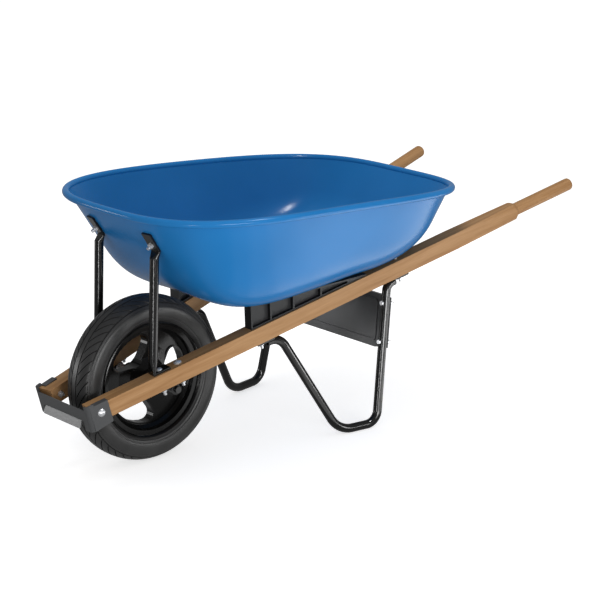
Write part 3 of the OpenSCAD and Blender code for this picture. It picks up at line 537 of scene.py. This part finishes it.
def light(name, place, target, size, power, fill=True, mirrored=True):
    """Area light, which gives fill light, or shows in reflections, or both."""
    data = bpy.data.lights.new(name, "AREA")
    data.shape = "RECTANGLE"
    data.size, data.size_y = size
    data.energy = power
    lamp = bpy.data.objects.new(name, data)
    bpy.context.scene.collection.objects.link(lamp)
    lamp.location = place
    lamp.rotation_euler = (Vector(target) - Vector(place)).to_track_quat("-Z", "Y").to_euler()
    lamp.visible_camera = False
    lamp.visible_diffuse = fill
    lamp.visible_glossy = mirrored


def world(fill, mirrored):
    """White surroundings, dimmer as fill light and in reflections than as the backdrop."""
    scene = bpy.context.scene
    scene.world = scene.world or bpy.data.worlds.new("studio")
    scene.world.use_nodes = True
    tree = scene.world.node_tree
    background = tree.nodes["Background"]
    background.inputs["Color"].default_value = (1.0, 1.0, 1.0, 1.0)
    path = tree.nodes.new("ShaderNodeLightPath")
    light_mix = tree.nodes.new("ShaderNodeMix")
    light_mix.inputs["A"].default_value = fill
    light_mix.inputs["B"].default_value = mirrored
    tree.links.new(path.outputs["Is Glossy Ray"], light_mix.inputs["Factor"])
    backdrop_mix = tree.nodes.new("ShaderNodeMix")
    backdrop_mix.inputs["B"].default_value = 1.0
    tree.links.new(path.outputs["Is Camera Ray"], backdrop_mix.inputs["Factor"])
    tree.links.new(light_mix.outputs["Result"], backdrop_mix.inputs["A"])
    tree.links.new(backdrop_mix.outputs["Result"], background.inputs["Strength"])


floor()
bpy.context.scene.view_settings.view_transform = "Standard"
world(0.50, 0.30)
# Each light's place, the point it faces, its width and height, and its power
light("key", (-0.75, -3.35, 0.42), (-0.1, 0.0, 0.4), (1.6, 0.7), 60.0)
light("top", (0.0, 0.3, 3.2), (0.0, 0.0, 0.4), (1.2, 0.8), 26.0, mirrored=False)
# The rest show only in reflections. Panels near the ground, which face up, make the sheen on the
# tray's side: each one's left and right end, and how bright it is
SHEEN = ((-0.42, -0.22, 0.7), (-0.22, -0.02, 1.5), (-0.02, 0.20, 2.4), (0.20, 1.40, 3.1))
SHEEN_Y, SHEEN_Z, SHEEN_DEPTH = -0.68, 0.03, 0.85
for i, (left, right, glow) in enumerate(SHEEN):
    middle = (left + right) / 2
    size = (right - left, SHEEN_DEPTH)
    power = glow * math.pi * size[0] * size[1]
    light(f"sheen_{i}", (middle, SHEEN_Y, SHEEN_Z), (middle, SHEEN_Y, 1.0), size, power, False)
# Lines up the black tubes, the guard's lip, the tyre's wall and the spark inside the tray
light("strip", (-1.65, -1.06, 0.22), (-0.5, -0.1, 0.3), (0.16, 0.40), 5.0, False)
light("lip", (-2.07, 1.83, 0.47), (-0.7, 0.0, 0.16), (0.8, 0.6), 11.0, False)
light("wall", (0.56, -1.24, 0.22), (-0.5, -0.04, 0.06), (0.34, 0.26), 3.6, False)
light("spark", (0.45, -1.33, 2.38), (0.19, 0.25, 0.45), (0.17, 0.17), 26.0, False)

# The camera's place and turn follow the photograph's viewing angle
CAMERA_PLACE = Vector((AXLE.x - 2.7807, -3.9959, 1.8398))
CAMERA_YAW = math.radians(39.32)
CAMERA_PITCH = math.radians(16.715)
CAMERA_ROLL = math.radians(-1.772)
CAMERA_LENS, CAMERA_SENSOR = 127.9, 36.0
camera_data = bpy.data.cameras.new("camera")
camera_data.lens = CAMERA_LENS
camera_data.sensor_width = CAMERA_SENSOR
camera = bpy.data.objects.new("camera", camera_data)
bpy.context.scene.collection.objects.link(camera)
forward = Vector(
    (
        math.sin(CAMERA_YAW) * math.cos(CAMERA_PITCH),
        math.cos(CAMERA_YAW) * math.cos(CAMERA_PITCH),
        -math.sin(CAMERA_PITCH),
    )
)
level_right = Vector((math.cos(CAMERA_YAW), -math.sin(CAMERA_YAW), 0.0))
level_up = level_right.cross(forward)
right = level_right * math.cos(CAMERA_ROLL) + level_up * math.sin(CAMERA_ROLL)
up = level_up * math.cos(CAMERA_ROLL) - level_right * math.sin(CAMERA_ROLL)
turn = Matrix((right, up, -forward)).transposed()
camera.matrix_world = Matrix.Translation(CAMERA_PLACE) @ turn.to_4x4()
bpy.context.scene.camera = camera
